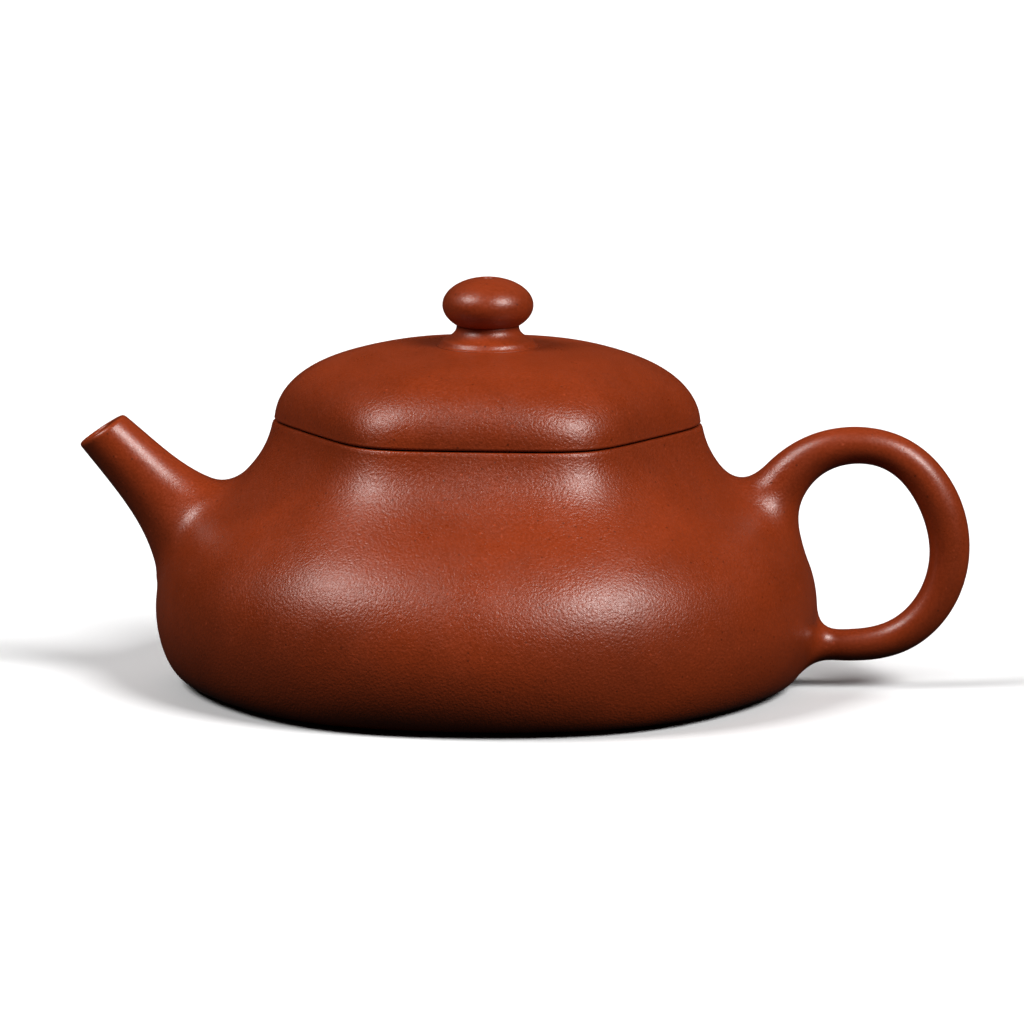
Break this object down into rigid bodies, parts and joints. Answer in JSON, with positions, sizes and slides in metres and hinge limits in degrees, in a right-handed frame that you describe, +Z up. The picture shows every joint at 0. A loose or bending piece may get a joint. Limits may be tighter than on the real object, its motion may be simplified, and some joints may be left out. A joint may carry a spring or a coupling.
{
  "type": "yixing clay teapot",
  "caption": "Low unglazed red clay teapot with a softly rounded hexagonal body, straight tapering spout, round loop handle and lift-off domed lid with a bead knob.",
  "frame": {"origin": "centre of the flat underside of the foot plate, on the pot's vertical axis, in the plane that the pot stands on", "axes": "+Z up along the axis of the pot and the lid; the spout points to -X and the handle is on +X, so the XZ plane is the mirror plane"},
  "size_m": [0.1598, 0.1176, 0.0736],
  "materials": {
    "burnished_clay": "unglazed red-brown stoneware, burnished to a satin with a fine orange-peel grain",
    "plain_clay": "unglazed red-brown stoneware, matt and unburnished"
  },
  "bodies": {
    "pot": {"belly_wall": "burnished_clay", "shoulder_slab": "burnished_clay", "mouth_ring": "burnished_clay", "base_slab": "plain_clay", "foot_plate": "plain_clay", "spout": "burnished_clay", "strainer": "plain_clay", "handle": "burnished_clay"},
    "lid": {"lid_dome": "burnished_clay", "lid_flange": "plain_clay", "knob_collar": "burnished_clay", "knob": "burnished_clay"}
  },
  "joints": [
    {"name": "lid_lift", "type": "slide", "parent": "pot", "child": "lid", "axis": [0, 0, 1], "range_m": [0, 0.03]}
  ]
}
